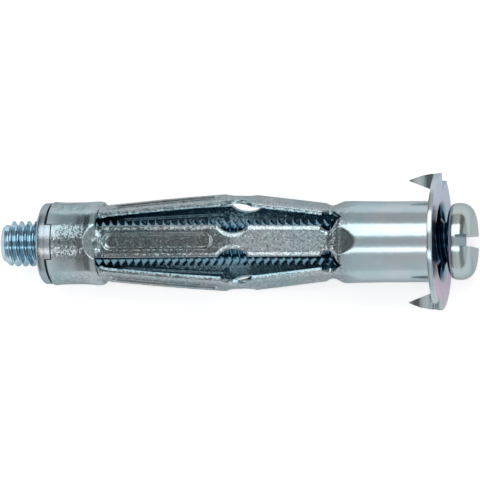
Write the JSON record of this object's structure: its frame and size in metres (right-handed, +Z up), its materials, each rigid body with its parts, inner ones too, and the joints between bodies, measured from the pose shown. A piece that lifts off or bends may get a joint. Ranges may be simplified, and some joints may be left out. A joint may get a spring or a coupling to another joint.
{
  "type": "hollow wall anchor",
  "caption": "Metal expansion anchor for hollow walls: slotted sheet sleeve with a pronged flange and folding legs, threaded nut at the far end, pan-head machine screw through it.",
  "frame": {"origin": "centre of the bounding box at ground level, with the anchor lying down on the flange's rim and the nut's edge", "axes": "+X runs from the screw's free tip toward its head, raised 3.8 degrees because the flange is wider than the nut; +Z is up; the two prongs lie at +Y and -Y"},
  "size_m": [0.0618, 0.0174, 0.0174],
  "materials": {
    "sleeve_zinc": "satin zinc plate on formed sheet",
    "nut_zinc": "satin zinc plate",
    "screw_zinc": "bright zinc plate with a blue passivation"
  },
  "bodies": {
    "sleeve": {"sleeve": "sleeve_zinc", "nut": "nut_zinc"},
    "screw": {"screw": "screw_zinc"}
  },
  "joints": [
    {"name": "screw_turn", "type": "hinge", "parent": "sleeve", "child": "screw", "pos_m": [0.0009, 0, 0.00699], "axis": [0.9977, 0, 0.0676], "continuous": true}
  ]
}
